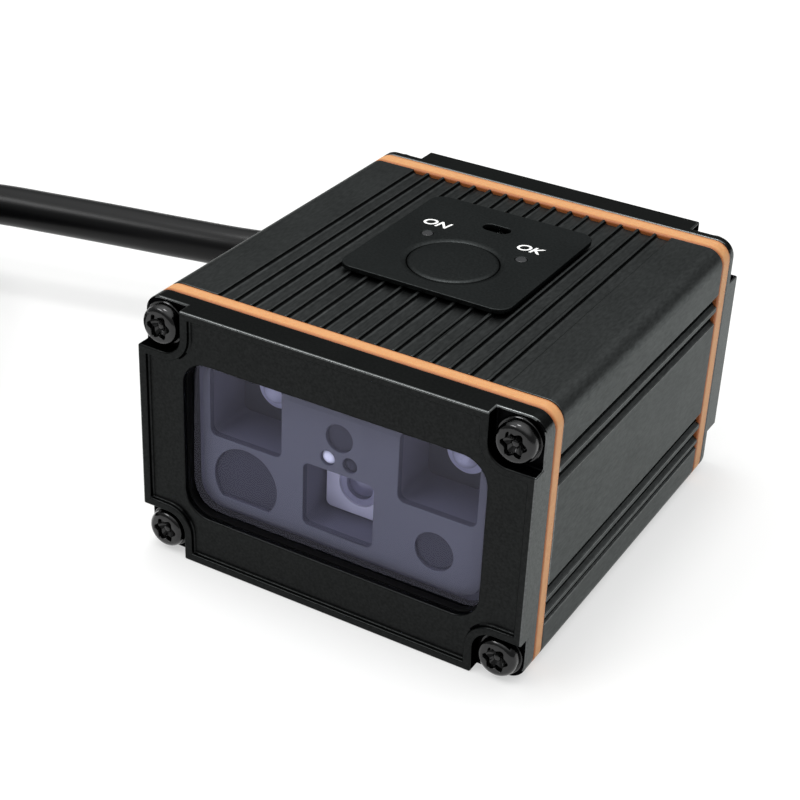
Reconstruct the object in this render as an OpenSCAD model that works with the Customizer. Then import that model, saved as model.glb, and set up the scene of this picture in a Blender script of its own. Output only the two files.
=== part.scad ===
// Fixed barcode reader. A fluted extruded sleeve is closed by a windowed bezel and a rear cover,
// each on a soft gasket, and holds an imaging engine, its boards, a trigger key and a moulded lead.
// The front faces -Y, Z is up and the origin is the middle of the base. Millimetres.

/* [Housing] */
// Width of the housing across its sides
body_w = 50; // [49:0.5:60]
// Height of the housing from its base to the crests of its flutes
body_h = 33; // [32.5:0.5:40]
// Radius of the housing's four long edges
body_r = 2.2; // [1.6:0.1:2.8]
// Length of the housing from the bezel's rim to the rear cover's back
body_l = 56; // [55:0.5:80]
// Thickness of the sleeve's sides and top
sleeve_wall = 2.4; // [2.2:0.1:2.7]
// Thickness of the sleeve's floor
sleeve_floor = 3.4; // [3.2:0.1:3.8]

/* [Flutes] */
// Number of flutes across the top
flute_count = 16; // [8:1:16]
// Distance between neighbouring flutes
flute_pitch = 2.28; // [2.2:0.02:2.4]
// Width of a flute
flute_w = 1.9; // [1.6:0.02:1.96]
// Depth of a flute below its crests
flute_depth = 0.52; // [0.46:0.02:0.6]
// Radius in a flute's bottom corners
flute_r = 0.44; // [0.1:0.02:0.46]
// Distance between the side flutes of a pair
side_flute_pitch = 2.28; // [2:0.02:2.4]
// Radius of a side flute's round bottom
side_flute_r = 0.82; // [0.7:0.02:0.9]
// Depth of a side flute below the side
side_flute_depth = 0.64; // [0.3:0.02:0.7]
// Height of the lowest side flute above the base
side_flute_z = 7.4; // [6.8:0.1:8.4]
// Distance of the highest side flute below the top
side_flute_drop = 6.7; // [6:0.1:7.5]

/* [End frames] */
// Height of the bezel's raised front over its corner notches
bezel_raise = 1.75; // [1.7:0.05:2.5]
// Thickness of the bezel's flange behind the notches
bezel_flange = 2.05; // [2:0.05:3]
// Thickness of the front gasket
front_gasket_t = 2; // [1.5:0.1:2.6]
// Thickness of the rear gasket
rear_gasket_t = 2.6; // [1.5:0.1:3]
// Thickness of the rear cover's flange
cover_flange = 1.2; // [1:0.1:2]
// Height of the rear cover's raised back over its corner notches
cover_raise = 2.6; // [2:0.1:3.5]
// Side of the square corner notches
notch = 5.8; // [5.6:0.1:6.4]
// Radius in the inner corner of a notch
notch_r = 2.4; // [1.5:0.1:3]
// Width of the rim round the bezel's front
rim = 1; // [0.6:0.1:1.4]
// Depth of the bezel's face below its rim
face_drop = 0.6; // [0.3:0.05:0.8]

/* [Window] */
// Distance of the window opening from the housing's sides
win_side = 5.7; // [5.6:0.1:6.2]
// Distance of the window opening from the housing's base and top
win_rise = 6.35; // [6.2:0.05:6.7]
// Corner radius of the window opening
win_r = 3.2; // [2.5:0.1:4]
// Width of the ledge that the pane is bonded to
win_ledge = 1.2; // [0.8:0.1:1.3]
// Thickness of the ledge in front of the pane
win_lip = 0.8; // [0.6:0.05:0.9]
// Thickness of the bond under the pane
bond_t = 0.15; // [0.1:0.05:0.2]
// Thickness of the window pane
pane_t = 1.2; // [0.8:0.05:1.25]

/* [Fasteners] */
// Distance of each housing screw from the housing's sides
screw_inset = 2.9; // [2.8:0.05:3.2]
// Outer diameter of the housing screws
screw_d = 2.5; // [2:0.1:2.5]
// Length of screw that enters the sleeve
screw_bite = 8; // [5:0.5:12]
// Diameter of a screw head
head_d = 4.7; // [4:0.1:4.8]
// Height of a screw head
head_h = 1.3; // [1.1:0.05:1.35]
// Diameter of a washer
washer_d = 5.2; // [4.9:0.1:5.3]
// Thickness of a washer
washer_t = 0.4; // [0.3:0.05:0.4]

/* [Key panel] */
// Width of the key panel
panel_w = 22; // [20:0.5:24]
// Length of the key panel
panel_l = 24; // [23:0.5:25]
// Thickness of the key panel
panel_t = 0.6; // [0.5:0.05:1]
// Distance of the key panel's middle behind the sleeve's middle
panel_shift = 3.5; // [2.5:0.1:4.5]
// Distance of the trigger key in front of the panel's middle
key_shift = 3.9; // [3.4:0.1:4.4]
// Diameter of the trigger key at its rim
key_d = 10.8; // [9:0.1:11]
// Travel of the trigger key
key_travel = 0.35; // [0.2:0.05:0.4]
// Distance of each lamp from the panel's middle line
lamp_x = 6.3; // [6:0.1:7]
// Diameter of each lamp's light pipe
lamp_d = 1.4; // [1:0.1:1.6]

/* [Mounting] */
// Spacing of the mounting holes across the base
mount_x = 25; // [18:1:30]
// Spacing of the mounting holes along the base
mount_y = 30; // [20:1:34]
// Diameter of the mounting holes' drilled wall
mount_d = 2.5; // [2:0.1:3.2]
// Depth of the mounting holes
mount_depth = 2.8; // [2:0.1:2.9]

/* [Lead] */
// Diameter of the cable
cable_d = 6; // [5:0.1:6.2]
// Height of the cable's outlet above the base
outlet_z = 12; // [12:0.5:16]
// Distance of the cable's outlet left of the middle
outlet_x = 2; // [0:0.5:4]
// Length of the boot along the cable
boot_len = 17; // [14:0.5:17]

/* [Hidden] */
$fn = 48;

// Length by which a cutter runs past the face that it cuts
past = 1;
// Clearance of a piece that drops into a pocket
drop_fit = 0.15;
// Clearance of a piece that is pressed or guided with a light fit
close_fit = 0.05;

// Planes along the housing, from the front
bezel_len = bezel_raise + bezel_flange;
cover_len = cover_flange + cover_raise;
sleeve_len = body_l - bezel_len - front_gasket_t - rear_gasket_t - cover_len;
front_y = -body_l / 2;
notch_front_y = front_y + bezel_raise;
bezel_back_y = notch_front_y + bezel_flange;
sleeve_front_y = bezel_back_y + front_gasket_t;
sleeve_back_y = sleeve_front_y + sleeve_len;
cover_front_y = sleeve_back_y + rear_gasket_t;
notch_back_y = cover_front_y + cover_flange;
back_y = notch_back_y + cover_raise;
sleeve_mid_y = (sleeve_front_y + sleeve_back_y) / 2;
mid_z = body_h / 2;

// Sleeve section
cavity_w = body_w - 2 * sleeve_wall;
cavity_top = body_h - sleeve_wall;
cavity_h = cavity_top - sleeve_floor;
cavity_r = 1;
boss_r = 2.9;
channel_d = screw_d + 0.1;
hole_d = screw_d + 0.4;
shadow_line_r = 0.4;
shadow_line_depth = 0.3;
shadow_line_gap = 1.75;
screw_x = body_w / 2 - screw_inset;
screw_places = [for (x = [-screw_x, screw_x], z = [screw_inset, body_h - screw_inset]) [x, z]];

// Window and pane
win_w = body_w - 2 * win_side;
win_h = body_h - 2 * win_rise;
lip_back_y = front_y + face_drop + win_lip;
pane_front_y = lip_back_y + bond_t;
pane_back_y = pane_front_y + pane_t;

// Torx recess in a screw head
torx_r = 0.82;
torx_lobe_r = 0.32;
torx_depth = 0.9;
head_round = 0.6;

// Key panel, trigger key and switch
panel_r = 1.9;
panel_y = sleeve_mid_y + panel_shift;
key_y = panel_y - key_shift;
lamp_shift = 1.1;
lamp_y = panel_y + lamp_shift;
slot_shift = 7;
slot_y = panel_y + slot_shift;
slot_w = 3.6;
slot_h = 1.9;
panel_top = body_h + panel_t;
key_gap = 0.1;
moat_w = 0.75;
moat_drop = 0.18;
key_bevel = 0.5;
key_crown = 0.06;
key_flange_w = 0.6;
key_flange_t = 0.6;
key_well_r = key_d / 2 + key_flange_w + 0.4;
key_well_depth = key_flange_t + key_travel + 0.15;
key_flange_top = body_h - close_fit;
stem_r = 1.4;
stem_hole_r = 1.7;
board_gap = 3.2;
board_t = 1.2;
panel_board_top = cavity_top - board_gap;
switch_side = 6.2;
switch_h = 2;
plunger_r = 1.5;
plunger_out = 0.55;
plunger_in = 0.8;
switch_well = 1.3;
lamp_h = 0.7;
lamp_side = 1.6;
leg_r = 1;
leg_inset = 2.2;
leg_x = panel_w / 2 - leg_inset;
leg_y = panel_l / 2 - leg_inset;
buzzer_r = 4.4;
buzzer_seal_t = 0.6;
sound_r = 1.2;

// Imaging engine, from its mask to its sensor board
mask_side_gap = 0.85;
mask_rise_gap = 0.7;
mask_w = win_w - 2 * mask_side_gap;
mask_h = win_h - 2 * mask_rise_gap;
mask_r = 3;
mask_bevel = 1.5;
mask_bevel_depth = 0.35;
mask_gap = 0.15;
mask_front_y = pane_back_y + mask_gap;
chassis_front_y = bezel_back_y;
chassis_flange_t = 1;
chassis_side_gap = 0.4;
chassis_flange_w = cavity_w - 2 * chassis_side_gap;
chassis_flange_h = win_h + 0.1;
chassis_w = win_w + 1;
chassis_h = win_h + 0.5;
chassis_depth = 6.2;
chassis_back_y = chassis_front_y + chassis_depth;
well_side = 1.15;
well_rise = 0.55;
well_w = 9.75;
well_x = (mask_w - well_w) / 2 - well_side;
well_top = mask_h / 2 - well_rise;
well_bottom = 0.05;
well_r = 0.9;
lamp_well_z = 4.4;
left_disc_r = 4.3;
left_disc_z = -4.95;
left_disc_rise = 1.65;
left_disc_cut = mask_h / 2 - left_disc_rise;
right_disc_r = 2.4;
right_disc_z = -4.85;
upper_disc_r = 1.73;
upper_disc_z = 5.3;
aim_r = 0.92;
aim_x = 1.45;
aim_z = 2.3;
eye_w = 9.2;
eye_h = 8.2;
eye_z = -3.4;
eye_r = 0.8;
disc_ledge = 0.4;
disc_t = 0.5;
light_board_t = 1;
light_board_back_y = chassis_back_y + light_board_t;
emitter_side = 2.4;
emitter_h = 0.5;
light_lens_r = 2.5;
light_lens_base = 0.6;
light_dome_r = 1.6;
mount_w = eye_w - 0.6;
mount_h = eye_h - 0.4;
eye_depth = 4.5;
mount_front_y = mask_front_y + eye_depth;
barrel_r = 2.55;
barrel_bore_r = 1.75;
barrel_len = 5.3;
barrel_set = 0.3;
lens_r = 1.7;
lens_len = 1.6;
lens_sphere_r = 4;
spacer_len = 6;
sensor_front_y = light_board_back_y + spacer_len;
sensor_board_t = 1;
sensor_back_y = sensor_front_y + sensor_board_t;
sensor_board_w = 16;
sensor_board_gap = 0.4;
sensor_board_h = chassis_h - 2 * sensor_board_gap;
sensor_w = 5;
sensor_h = 4;
sensor_t = 0.8;
sensor_pocket = 2;
post_x = 6.15;
post_inset = 2.4;
post_z = chassis_h / 2 - post_inset;
post_r = 1.6;
post_bore_r = 0.9;
engine_screw_r = 0.8;
engine_screw_bite = 2;
engine_head_r = 1.5;
engine_head_h = 0.8;
chassis_screw_x = chassis_flange_w / 2 - 0.7;
chassis_screw_r = 0.55;
chassis_screw_bite = 1.8;
chassis_head_r = 0.65;
chassis_head_h = 0.6;

// Decoder board in its card guides
guide_w = 1.2;
guide_t = 1;
guide_fit = 0.1;
decoder_rise = 4.6;
decoder_z = sleeve_floor + decoder_rise;
decoder_top = decoder_z + board_t;
decoder_w = cavity_w - 0.4;
decoder_front_gap = 1;
decoder_front_y = sensor_back_y + decoder_front_gap;
decoder_back_gap = 1.6;
decoder_back_y = sleeve_back_y - decoder_back_gap;
socket_h = 1.4;
socket_w = 9;
socket_l = 3;
ribbon_t = 0.3;
ribbon_w = 8;
ribbon_rise = 0.6;
ribbon_z = decoder_top + ribbon_rise;
engine_socket_shift = 4;
engine_socket_y = sensor_back_y + engine_socket_shift;
header_w = 10;
header_l = 5;
header_y = decoder_back_y - header_l;
header_gap = 2.3;
panel_socket_y = header_y - header_gap - socket_l / 2;
panel_ribbon_w = 6;
chip_t = 1.2;
chip_gap = 2;
decoder_chip = 10;
memory_w = 7;
memory_l = 9;
inductor_side = 6;
inductor_h = 2.6;
regulator_w = 5;
regulator_l = 4;

// Cable outlet and boot
outlet_px = -outlet_x;
boot_neck_r = 4;
boot_collar_r = 5.2;
boot_collar_t = 1.5;
boot_flange_r = 5.6;
boot_flange_t = 1.2;
boot_knuckle_r = 4.6;
boot_reach = 4.8;
boot_tip_r = cable_d / 2 + 0.55;
boot_rings = 4;
boot_ring_w = 0.9;
boot_ring_depth = 0.45;
boot_axis_y = back_y + boot_reach;
boot_end_x = outlet_px - boot_len;
crimp_w = 8;
crimp_h = 5;
crimp_l = 1.6;
lead_core_r = 2.2;

// Cable route: points chosen along the bench, then a coil of turns beside and on each other
cable_sides = 10;
cable_straight = 5;
tie_t = 0.5;
coil_x = -104;
coil_y = -36;
coil_mid_r = 33;
coil_rows = 3;
coil_layers = 2;
coil_lift = tie_t;
coil_out_r = coil_mid_r + cable_d * (coil_rows - 1) / 2;
coil_meet_r = coil_out_r + cable_d;
coil_low_z = coil_lift + cable_d / 2;
coil_high_z = coil_low_z + cable_d;
coil_over_z = coil_high_z + cable_d;
function on_coil(angle, r, z) = [coil_x + r * cos(angle), coil_y + r * sin(angle), z];
lead_route = [
    [boot_end_x, boot_axis_y, outlet_z],
    [boot_end_x - cable_straight, boot_axis_y, outlet_z],
    [-31, boot_axis_y - 1.6, outlet_z],
    [-38, boot_axis_y - 4.2, outlet_z],
    [-46, 25.3, 12.2],
    [-56, 22.4, 12.5],
    [-66, 19.8, 12.8],
    [-76, 17.3, 13],
    [-86, 14.9, 13],
    [-96, 12.4, 12.2],
    [-105, 10, 10.4],
    on_coil(104, coil_meet_r, 8.2),
    on_coil(118, coil_meet_r, 5.8),
    on_coil(132, coil_meet_r, 4.2),
    on_coil(149, coil_meet_r, coil_low_z),
    on_coil(176, coil_meet_r - cable_d * 0.16, coil_low_z),
    on_coil(212, coil_meet_r - cable_d / 2, coil_low_z),
    on_coil(248, coil_out_r + cable_d * 0.16, coil_low_z),
    on_coil(284, coil_out_r, coil_low_z)
];
plug_body_h = 8;
plug_back = 6;
tail_bend_r = 26;
tail_angle = 103.3;
tail_shift = coil_out_r - tail_bend_r;
tail_x = coil_x + tail_shift * cos(tail_angle);
tail_y = coil_y + tail_shift * sin(tail_angle);
function on_tail(angle, z) = [tail_x + tail_bend_r * cos(angle), tail_y + tail_bend_r * sin(angle), z];
plug_x = tail_x - tail_bend_r;
plug_y = coil_y + plug_back;
plug_z = coil_lift + coil_layers * cable_d + plug_body_h / 2;
tail_route = [
    on_coil(14, coil_out_r, coil_high_z),
    on_coil(32, coil_out_r, coil_high_z + cable_d * 0.16),
    on_coil(50, coil_out_r, coil_high_z + cable_d / 2),
    on_coil(68, coil_out_r, coil_over_z - cable_d * 0.16),
    on_coil(86, coil_out_r, coil_over_z),
    on_coil(tail_angle, coil_out_r, coil_over_z),
    on_tail(129, (coil_over_z * 3 + plug_z) / 4),
    on_tail(154.5, (coil_over_z + plug_z * 3) / 4),
    on_tail(180, plug_z),
    [plug_x, plug_y, plug_z]
];
tie_w = 9;
plug_body_l = 22;
plug_body_w = 15;
plug_body_r = 2.4;
plug_neck_l = 7;
plug_neck_r = 3.6;
plug_shell_l = 18.5;
plug_shell_w = 12;
plug_shell_h = 4.5;
plug_shell_t = 0.4;
plug_insert_l = 16;
plug_insert_h = 1.9;
plug_insert_r = 0.5;
plug_latch = 2.2;
plug_latch_x = 2.9;
plug_latch_y = 12;

// Solid between two planes along the housing, from a section drawn in X and Z
module along_y(from, to) {
    translate([0, to, 0]) rotate([90, 0, 0]) linear_extrude(to - from) children();
}

// Cylinder along the housing
module rod_y(x, z, from, to, r) {
    translate([x, to, z]) rotate([90, 0, 0]) cylinder(r = r, h = to - from);
}

// Rounded rectangle about the middle
module round_rect(w, h, r) {
    square([w - 2 * r, h], center = true);
    square([w, h - 2 * r], center = true);
    for (x = [r - w / 2, w / 2 - r], y = [r - h / 2, h / 2 - r]) translate([x, y]) circle(r);
}

// Rounded rectangle at a place in the section
module round_rect_at(x, z, w, h, r) {
    translate([x, z]) round_rect(w, h, r);
}

module body_outline() {
    round_rect_at(0, mid_z, body_w, body_h, body_r);
}

module screw_circles(d) {
    for (p = screw_places) translate(p) circle(d = d);
}

// Inside of the sleeve, with the four screw channels standing in its corners
module cavity_outline() {
    difference() {
        round_rect_at(0, sleeve_floor + cavity_h / 2, cavity_w, cavity_h, cavity_r);
        for (p = screw_places) translate(p) circle(boss_r);
    }
}

module flutes() {
    for (i = [0:flute_count - 1])
        translate([(i - (flute_count - 1) / 2) * flute_pitch, body_h])
            round_rect(flute_w, 2 * flute_depth, flute_r);
}

module side_flutes() {
    heights = [
        side_flute_z, side_flute_z + side_flute_pitch,
        body_h - side_flute_drop - side_flute_pitch, body_h - side_flute_drop
    ];
    for (side = [-1, 1]) {
        for (z = heights)
            translate([side * (body_w / 2 + side_flute_r - side_flute_depth), z]) circle(side_flute_r);
        translate([side * (body_w / 2 + shadow_line_r - shadow_line_depth), side_flute_z - shadow_line_gap])
            circle(shadow_line_r);
    }
}

// Pairs of ribs on the side walls that the decoder board slides between
module card_guides() {
    for (side = [-1, 1], z = [decoder_z - guide_fit - guide_t, decoder_top + guide_fit])
        translate([side * cavity_w / 2 - (side > 0 ? guide_w : past), z]) square([guide_w + past, guide_t]);
}

module sleeve_section() {
    difference() {
        body_outline();
        flutes();
        side_flutes();
        difference() {
            cavity_outline();
            card_guides();
        }
        screw_circles(channel_d);
    }
}

module housing_sleeve() {
    color("#2c2e2e") difference() {
        along_y(sleeve_front_y, sleeve_back_y) sleeve_section();
        translate([0, key_y, body_h - key_well_depth]) cylinder(r = key_well_r, h = key_well_depth + past);
        translate([0, key_y, cavity_top - past]) cylinder(r = stem_hole_r, h = sleeve_wall + 2 * past);
        translate([0, slot_y, cavity_top - past]) cylinder(r = sound_r, h = sleeve_wall + 2 * past);
        for (x = [-lamp_x, lamp_x])
            translate([x, lamp_y, cavity_top - past]) cylinder(d = lamp_d + 0.4, h = sleeve_wall + 2 * past);
        for (x = [-leg_x, leg_x], y = [panel_y - leg_y, panel_y + leg_y])
            translate([x, y, cavity_top - past]) cylinder(r = leg_r + close_fit, h = sleeve_wall + 2 * past);
        for (x = [-mount_x / 2, mount_x / 2], y = [sleeve_mid_y - mount_y / 2, sleeve_mid_y + mount_y / 2])
            translate([x, y, -past]) cylinder(d = mount_d, h = mount_depth + past);
    }
}

module gasket_section() {
    difference() {
        body_outline();
        cavity_outline();
        screw_circles(hole_d);
    }
}

module front_gasket() {
    color("#d98a4e") along_y(bezel_back_y, sleeve_front_y) gasket_section();
}

module rear_gasket() {
    color("#d98a4e") along_y(sleeve_back_y, cover_front_y) gasket_section();
}

// Corner cut-out of side s, rounded in its inner corner, drawn from the housing's lower left corner
module corner_cut(s, r) {
    translate([-past, -past]) square([s + past, s + past - r]);
    translate([-past, -past]) square([s + past - r, s + past]);
    translate([s - r, s - r]) circle(r);
}

module corner_cuts(s, r) {
    for (mx = [0, 1], mz = [0, 1])
        translate([mx == 0 ? -body_w / 2 : body_w / 2, mz == 0 ? 0 : body_h])
            mirror([mx, 0]) mirror([0, mz]) corner_cut(s, r);
}

// Outline of a raised end face: the housing's outline less its four corner notches
module notched_outline(inset) {
    difference() {
        round_rect_at(0, mid_z, body_w - 2 * inset, body_h - 2 * inset, body_r - inset);
        corner_cuts(notch + inset, notch_r + inset);
    }
}

module front_bezel() {
    pocket_r = win_r + win_ledge;
    color("#303232") difference() {
        union() {
            along_y(front_y, bezel_back_y) notched_outline(0);
            along_y(notch_front_y, bezel_back_y) body_outline();
        }
        along_y(front_y - past, front_y + face_drop) notched_outline(rim);
        along_y(front_y, bezel_back_y + past) round_rect_at(0, mid_z, win_w, win_h, win_r);
        along_y(lip_back_y, bezel_back_y + past)
            round_rect_at(0, mid_z, win_w + 2 * win_ledge, win_h + 2 * win_ledge, pocket_r);
        along_y(notch_front_y - past, bezel_back_y + past) screw_circles(hole_d);
        for (x = [-chassis_screw_x, chassis_screw_x])
            rod_y(x, mid_z, bezel_back_y - chassis_screw_bite - drop_fit, bezel_back_y + past,
                chassis_screw_r + close_fit);
    }
}

module window_bond() {
    color("#101010") along_y(lip_back_y, pane_front_y) difference() {
        round_rect_at(0, mid_z, win_w + 2 * win_ledge - 2 * drop_fit, win_h + 2 * win_ledge - 2 * drop_fit,
            win_r + win_ledge - drop_fit);
        round_rect_at(0, mid_z, win_w, win_h, win_r);
    }
}

module window_pane() {
    color("#8f90a6", 0.35) along_y(pane_front_y, pane_back_y)
        round_rect_at(0, mid_z, win_w + 2 * win_ledge - 2 * drop_fit, win_h + 2 * win_ledge - 2 * drop_fit,
            win_r + win_ledge - drop_fit);
}

module rear_cover() {
    color("#303232") difference() {
        union() {
            along_y(cover_front_y, back_y) notched_outline(0);
            along_y(cover_front_y, notch_back_y) body_outline();
        }
        along_y(cover_front_y - past, notch_back_y + past) screw_circles(hole_d);
        rod_y(outlet_px, outlet_z, cover_front_y - past, back_y + past, boot_neck_r + close_fit);
    }
}

// Screw that stands along Z with its head's seat at zero and its shank below
module torx_screw(shank) {
    difference() {
        union() {
            translate([0, 0, -shank]) cylinder(d = screw_d, h = shank);
            rotate_extrude() {
                square([head_d / 2 - head_round, head_h]);
                square([head_d / 2, head_h - head_round]);
                intersection() {
                    translate([head_d / 2 - head_round, head_h - head_round]) circle(head_round);
                    square([head_d, head_h]);
                }
            }
        }
        translate([0, 0, head_h - torx_depth]) {
            cylinder(r = torx_r, h = torx_depth + past);
            for (i = [0:5])
                rotate(i * 60) translate([torx_r, 0, 0]) cylinder(r = torx_lobe_r, h = torx_depth + past);
        }
    }
}

module front_screws() {
    seat_y = notch_front_y - washer_t;
    shank = sleeve_front_y - seat_y + screw_bite;
    color("#1c1c1c") for (p = screw_places)
        translate([p[0], seat_y, p[1]]) rotate([90, 0, 0]) torx_screw(shank);
}

module rear_screws() {
    seat_y = notch_back_y + washer_t;
    shank = seat_y - sleeve_back_y + screw_bite;
    color("#1c1c1c") for (p = screw_places)
        translate([p[0], seat_y, p[1]]) rotate([-90, 0, 0]) torx_screw(shank);
}

module washer_section() {
    difference() {
        screw_circles(washer_d);
        screw_circles(screw_d + 0.2);
    }
}

module front_washers() {
    color("#232424") along_y(notch_front_y - washer_t, notch_front_y) washer_section();
}

module rear_washers() {
    color("#232424") along_y(notch_back_y, notch_back_y + washer_t) washer_section();
}

// Slot with round ends, standing along Z
module sound_slot(h) {
    span = slot_w - slot_h;
    for (x = [-span / 2, span / 2]) translate([x, 0, 0]) cylinder(d = slot_h, h = h);
    translate([-span / 2, -slot_h / 2, 0]) cube([span, slot_h, h]);
}

module key_panel() {
    opening_r = key_d / 2 + key_gap;
    color("#2d2f2f") difference() {
        union() {
            translate([0, panel_y, body_h]) linear_extrude(panel_t) round_rect(panel_w, panel_l, panel_r);
            for (x = [-leg_x, leg_x], y = [panel_y - leg_y, panel_y + leg_y])
                translate([x, y, panel_board_top])
                    cylinder(r = leg_r, h = body_h + panel_t / 2 - panel_board_top);
        }
        translate([0, key_y, body_h - past]) cylinder(r = opening_r, h = panel_t + 2 * past);
        translate([0, key_y, panel_top]) rotate_extrude() polygon([
            [0, -moat_drop], [opening_r, -moat_drop], [opening_r + moat_w, 0],
            [opening_r + moat_w, past], [0, past]
        ]);
        translate([0, slot_y, body_h - past]) sound_slot(panel_t + 2 * past);
        for (x = [-lamp_x, lamp_x])
            translate([x, lamp_y, body_h - past])
                cylinder(d = lamp_d + 2 * close_fit, h = panel_t + 2 * past);
        for (x = [-leg_x, leg_x], y = [panel_y - leg_y, panel_y + leg_y])
            translate([x, y, panel_board_top - past]) cylinder(r = leg_r / 2, h = board_gap + past);
    }
}

// Trigger key: a crowned cap whose edge dips into the moat, a flange under the panel and a stem
module trigger_key() {
    rim_r = key_d / 2;
    stem_bottom = panel_board_top + switch_h + plunger_out;
    color("#2d2f2f") translate([0, key_y, 0]) rotate_extrude() polygon([
        [0, stem_bottom], [stem_r, stem_bottom], [stem_r, key_flange_top - key_flange_t],
        [rim_r + key_flange_w, key_flange_top - key_flange_t], [rim_r + key_flange_w, key_flange_top],
        [rim_r, key_flange_top], [rim_r, panel_top - moat_drop], [rim_r - key_bevel, panel_top],
        [rim_r / 2, panel_top + key_crown * 0.75], [0, panel_top + key_crown]
    ]);
}

module switch_plunger() {
    color("#c9b27a") translate([0, key_y, panel_board_top + switch_h - plunger_in])
        cylinder(r = plunger_r, h = plunger_in + plunger_out);
}

module trigger_switch() {
    color("#1d1d20") difference() {
        translate([-switch_side / 2, key_y - switch_side / 2, panel_board_top])
            cube([switch_side, switch_side, switch_h]);
        translate([0, key_y, panel_board_top + switch_h - switch_well])
            cylinder(r = plunger_r + 0.2, h = switch_well + past);
    }
}

module light_pipe(x) {
    bottom = panel_board_top + lamp_h;
    color("#c8ccd0", 0.6) translate([x, lamp_y, bottom]) cylinder(d = lamp_d, h = panel_top - bottom);
}

module power_light_pipe() {
    light_pipe(-lamp_x);
}

module read_light_pipe() {
    light_pipe(lamp_x);
}

module status_lamps() {
    color("#f2f0e0") for (x = [-lamp_x, lamp_x])
        translate([x - lamp_side / 2, lamp_y - lamp_side / 4, panel_board_top])
            cube([lamp_side, lamp_side / 2, lamp_h]);
}

module buzzer() {
    color("#1a1a1c") difference() {
        translate([0, slot_y, panel_board_top]) cylinder(r = buzzer_r, h = board_gap - buzzer_seal_t);
        translate([0, slot_y, cavity_top - buzzer_seal_t - 0.8]) cylinder(r = sound_r, h = past);
    }
}

module buzzer_seal() {
    color("#3a3a3c") translate([0, slot_y, cavity_top - buzzer_seal_t]) difference() {
        cylinder(r = buzzer_r - 0.4, h = buzzer_seal_t);
        translate([0, 0, -past]) cylinder(r = buzzer_r - 1.6, h = buzzer_seal_t + 2 * past);
    }
}

module panel_board() {
    color("#1f5b3a") difference() {
        translate([0, panel_y, panel_board_top - board_t]) linear_extrude(board_t)
            round_rect(panel_w, panel_l, panel_r);
        for (x = [-leg_x, leg_x], y = [panel_y - leg_y, panel_y + leg_y])
            translate([x, y, panel_board_top - board_t - past])
                cylinder(r = leg_r / 2, h = board_t + 2 * past);
    }
}

module panel_screws() {
    head = 0.7;
    shank_r = leg_r / 2 - close_fit;
    color("#8d9094") for (x = [-leg_x, leg_x], y = [panel_y - leg_y, panel_y + leg_y])
        translate([x, y, panel_board_top - board_t]) {
            translate([0, 0, -head]) cylinder(r = leg_r, h = head);
            cylinder(r = shank_r, h = board_t + board_gap - 0.4);
        }
}

module panel_ribbon() {
    top = panel_board_top - board_t;
    color("#c98a3c") translate([-panel_ribbon_w / 2, panel_socket_y - ribbon_t / 2, decoder_top + socket_h])
        cube([panel_ribbon_w, ribbon_t, top - decoder_top - socket_h]);
}

// Openings of the engine's face, grown by one amount at the deep wells and another at the covered discs
module engine_openings(well_grow, disc_grow) {
    for (x = [-well_x, well_x])
        round_rect_at(x, mid_z + (well_top + well_bottom) / 2, well_w + 2 * well_grow,
            well_top - well_bottom + 2 * well_grow, well_r);
    round_rect_at(0, mid_z + eye_z, eye_w + 2 * well_grow, eye_h + 2 * well_grow, eye_r);
    disc_openings(disc_grow);
    for (x = [-aim_x, aim_x]) translate([x, mid_z + aim_z]) circle(aim_r + disc_grow);
}

// Round openings that small dark windows close, the large one cut off flat below
module disc_openings(grow) {
    intersection() {
        translate([-well_x, mid_z + left_disc_z]) circle(left_disc_r + grow);
        translate([-well_x - mask_w, mid_z - left_disc_cut - grow]) square([2 * mask_w, mask_h]);
    }
    translate([well_x, mid_z + right_disc_z]) circle(right_disc_r + grow);
    translate([0, mid_z + upper_disc_z]) circle(upper_disc_r + grow);
}

module engine_mask() {
    bevel_y = mask_front_y + min(mask_bevel_depth, chassis_front_y - mask_front_y);
    color("#5c5c69") difference() {
        union() {
            hull() {
                along_y(mask_front_y, mask_front_y + close_fit)
                    round_rect_at(0, mid_z, mask_w - 2 * mask_bevel, mask_h - 2 * mask_bevel,
                        mask_r - mask_bevel);
                along_y(bevel_y - close_fit, bevel_y) round_rect_at(0, mid_z, mask_w, mask_h, mask_r);
            }
            along_y(bevel_y - close_fit, chassis_front_y) round_rect_at(0, mid_z, mask_w, mask_h, mask_r);
        }
        along_y(mask_front_y - past, chassis_front_y + past) engine_openings(0, 0);
    }
}

module engine_chassis() {
    color("#35353c") difference() {
        union() {
            along_y(chassis_front_y, chassis_front_y + chassis_flange_t)
                round_rect_at(0, mid_z, chassis_flange_w, chassis_flange_h, 1);
            along_y(chassis_front_y, chassis_back_y) round_rect_at(0, mid_z, chassis_w, chassis_h, 1);
        }
        along_y(chassis_front_y - past, chassis_back_y + past) engine_openings(drop_fit, -disc_ledge);
        for (x = [-post_x, post_x], z = [mid_z - post_z, mid_z + post_z])
            rod_y(x, z, chassis_back_y - engine_screw_bite - drop_fit, chassis_back_y + past,
                engine_screw_r + close_fit);
        for (x = [-chassis_screw_x, chassis_screw_x])
            rod_y(x, mid_z, chassis_front_y - past, chassis_front_y + chassis_flange_t + past,
                chassis_screw_r + close_fit);
    }
}

module chassis_screws() {
    seat_y = chassis_front_y + chassis_flange_t;
    color("#8d9094") for (x = [-chassis_screw_x, chassis_screw_x]) {
        rod_y(x, mid_z, seat_y, seat_y + chassis_head_h, chassis_head_r);
        rod_y(x, mid_z, bezel_back_y - chassis_screw_bite, seat_y, chassis_screw_r);
    }
}

module cover_discs() {
    color("#3d3b48") along_y(chassis_front_y - disc_t, chassis_front_y) disc_openings(-close_fit);
}

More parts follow.
